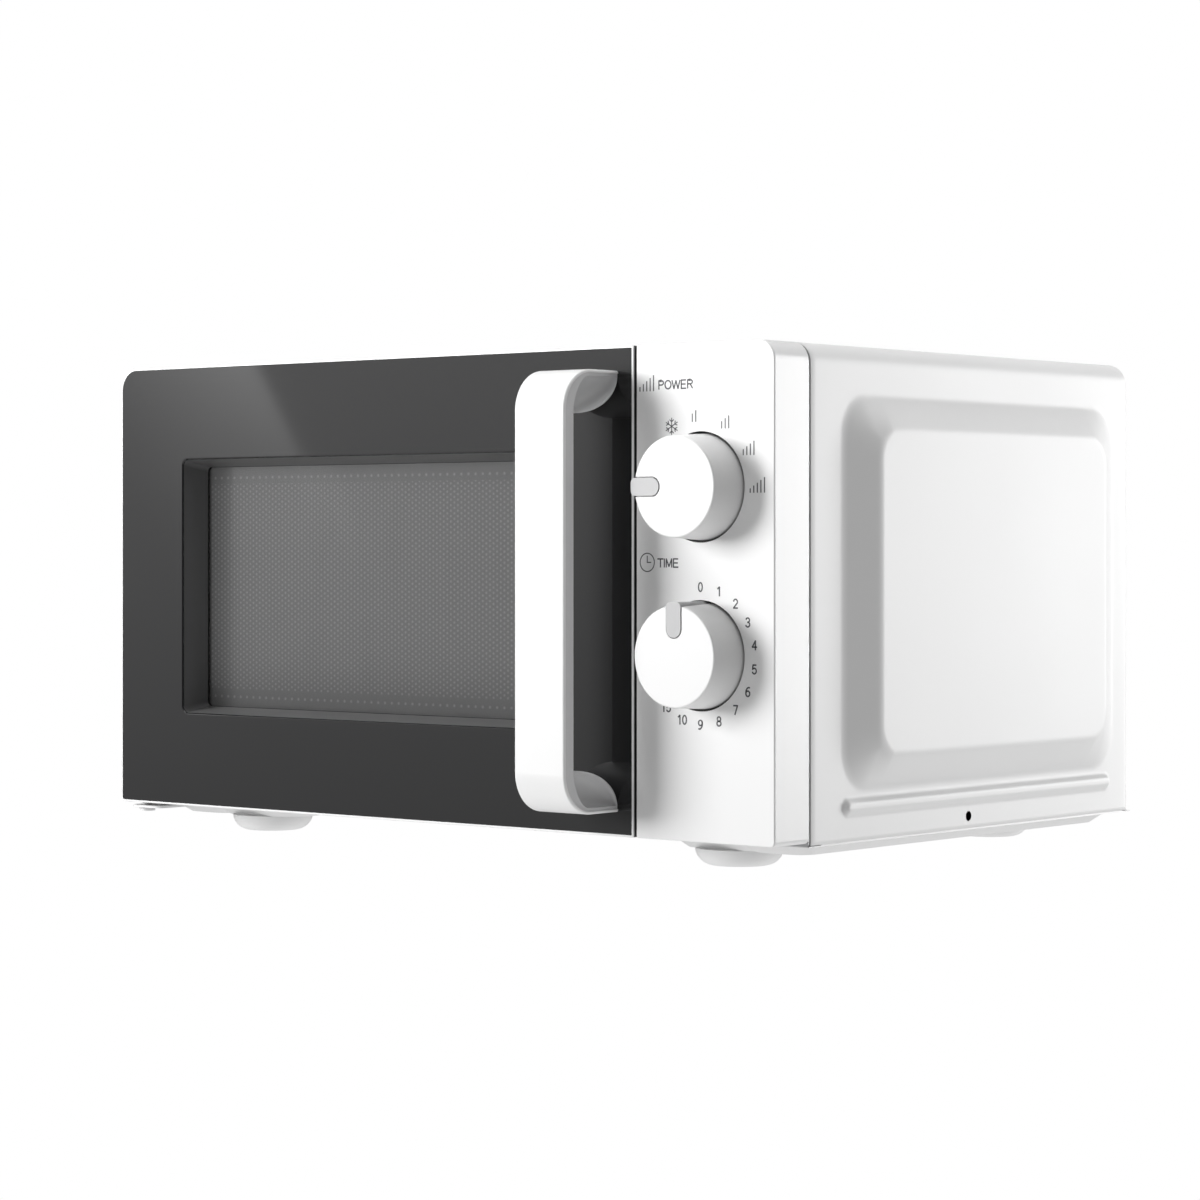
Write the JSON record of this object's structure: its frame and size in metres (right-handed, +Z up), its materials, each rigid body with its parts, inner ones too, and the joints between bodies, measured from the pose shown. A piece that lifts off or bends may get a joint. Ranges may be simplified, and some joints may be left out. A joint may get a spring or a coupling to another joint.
{
  "type": "microwave oven",
  "caption": "Countertop microwave oven with a side-hinged windowed door, a vertical bar handle, two rotary controls, a turntable and bulged white sheet-metal sides on round feet.",
  "frame": {"origin": "middle of the footprint, on the surface that the feet stand on", "axes": "+X to the right as seen from the front, +Y to the back, +Z up; the door faces -Y"},
  "size_m": [0.4694, 0.3616, 0.2535],
  "materials": {
    "white_coat": "smooth satin powder coat",
    "zinc_steel": "zinc-coated sheet",
    "cavity_enamel": "smooth light cavity paint",
    "mica": "matte mica board",
    "magnetron_metal": "bare",
    "core_iron": "varnished laminations",
    "winding_copper": "enamelled copper wire",
    "can_aluminium": "satin",
    "black_plastic": "fine texture",
    "grey_plastic": "fine texture",
    "lamp_glass": "clear",
    "tray_glass": "clear",
    "white_plastic": "semi-gloss",
    "board_green": "circuit board",
    "screw_steel": "plated",
    "black_gloss": "polished",
    "window_glass": "clear sheet",
    "screen_metal": "black-coated perforated sheet",
    "choke_coat": "smooth light paint",
    "choke_plastic": "smooth",
    "silver_plastic": "silver-grey satin",
    "spring_steel": "plain wire",
    "foot_plastic": "smooth grey",
    "pointer_plastic": "light grey satin",
    "switch_red": "smooth"
  },
  "bodies": {
    "cabinet": {"outer_case": "white_coat", "rear_panel": "zinc_steel", "base_plate": "zinc_steel", "front_plate": "zinc_steel", "cavity": "cavity_enamel", "waveguide": "zinc_steel", "waveguide_cover": "mica", "magnetron": "magnetron_metal", "component_tray": "zinc_steel", "transformer_core": "core_iron", "transformer_windings": "winding_copper", "capacitor": "can_aluminium", "diode": "black_plastic", "fan_shroud": "grey_plastic", "fan_motor": "core_iron", "lamp_holder": "zinc_steel", "lamp_bulb": "lamp_glass", "turntable_motor": "zinc_steel", "control_panel": "white_plastic", "panel_bracket": "zinc_steel", "timer_unit": "grey_plastic", "power_selector": "black_plastic", "noise_filter": "board_green", "thermal_cutouts": "zinc_steel", "cord_gland": "black_plastic", "case_screws": "screw_steel", "latch_board": "grey_plastic", "lower_hinge": "zinc_steel", "upper_hinge": "zinc_steel", "feet": "foot_plastic", "lower_switch": "black_plastic", "upper_switch": "black_plastic"},
    "door": {"door_frame": "white_plastic", "door_front": "black_gloss", "inner_window": "window_glass", "door_screen": "screen_metal", "rear_film": "window_glass", "choke_frame": "choke_coat", "choke_cover": "choke_plastic", "handle_cover": "white_plastic", "handle_liner": "silver_plastic", "handle_screws": "screw_steel", "latch_guide": "black_plastic"},
    "latch": {"latch_hooks": "grey_plastic", "latch_spring": "spring_steel"},
    "power_control": {"power_knob": "white_plastic", "power_pointer": "pointer_plastic", "power_shaft": "screw_steel"},
    "timer_control": {"timer_knob": "white_plastic", "timer_pointer": "pointer_plastic", "timer_shaft": "screw_steel"},
    "turntable": {"glass_tray": "tray_glass", "turntable_coupler": "grey_plastic"},
    "ring": {"roller_ring": "grey_plastic"},
    "roller_a": {"roller_1": "grey_plastic"},
    "roller_b": {"roller_2": "grey_plastic"},
    "roller_c": {"roller_3": "grey_plastic"},
    "fan": {"fan_blade": "grey_plastic"},
    "lower_plunger": {"lower_switch_plunger": "switch_red"},
    "upper_plunger": {"upper_switch_plunger": "switch_red"}
  },
  "joints": [
    {"name": "door_hinge", "type": "hinge", "parent": "cabinet", "child": "door", "pos_m": [-0.2175, -0.1284, 0.1345], "axis": [0, 0, -1], "range_deg": [0, 100]},
    {"name": "latch_slide", "type": "slide", "parent": "door", "child": "latch", "axis": [0, 0, 1], "range_m": [-0.0045, 0], "stiffness_N_per_m": 250, "deforming": ["latch_spring"]},
    {"name": "power_turn", "type": "hinge", "parent": "cabinet", "child": "power_control", "pos_m": [0.1814, -0.1504, 0.1846], "axis": [0, 1, 0], "range_deg": [0, 180]},
    {"name": "timer_turn", "type": "hinge", "parent": "cabinet", "child": "timer_control", "pos_m": [0.1814, -0.1504, 0.1043], "axis": [0, 1, 0], "range_deg": [0, 280]},
    {"name": "turntable_spin", "type": "hinge", "parent": "cabinet", "child": "turntable", "pos_m": [-0.048, 0.0276, 0.0455], "axis": [0, 0, 1], "continuous": true},
    {"name": "ring_spin", "type": "hinge", "parent": "cabinet", "child": "ring", "pos_m": [-0.048, 0.0276, 0.0445], "axis": [0, 0, 1], "continuous": true},
    {"name": "fan_spin", "type": "hinge", "parent": "cabinet", "child": "fan", "pos_m": [0.1675, 0.1346, 0.1275], "axis": [0, 1, 0], "continuous": true},
    {"name": "roller_a_spin", "type": "hinge", "parent": "ring", "child": "roller_a", "pos_m": [0.03167, 0.0736, 0.0445], "axis": [0.866, 0.5, 0], "continuous": true},
    {"name": "roller_b_spin", "type": "hinge", "parent": "ring", "child": "roller_b", "pos_m": [-0.12767, 0.0736, 0.0445], "axis": [-0.866, 0.5, 0], "continuous": true},
    {"name": "roller_c_spin", "type": "hinge", "parent": "ring", "child": "roller_c", "pos_m": [-0.048, -0.0644, 0.0445], "axis": [0, -1, 0], "continuous": true},
    {"name": "lower_plunger_press", "type": "slide", "parent": "cabinet", "child": "lower_plunger", "axis": [0, 1, 0], "range_m": [0, 0.0012], "stiffness_N_per_m": 400},
    {"name": "upper_plunger_press", "type": "slide", "parent": "cabinet", "child": "upper_plunger", "axis": [0, 1, 0], "range_m": [0, 0.0012], "stiffness_N_per_m": 400}
  ],
  "couplings": [
    {"joint": "ring_spin", "follows": "turntable_spin", "ratio": 0.5},
    {"joint": "roller_a_spin", "follows": "turntable_spin", "ratio": -6.6667},
    {"joint": "roller_b_spin", "follows": "turntable_spin", "ratio": -6.6667},
    {"joint": "roller_c_spin", "follows": "turntable_spin", "ratio": -6.6667}
  ]
}
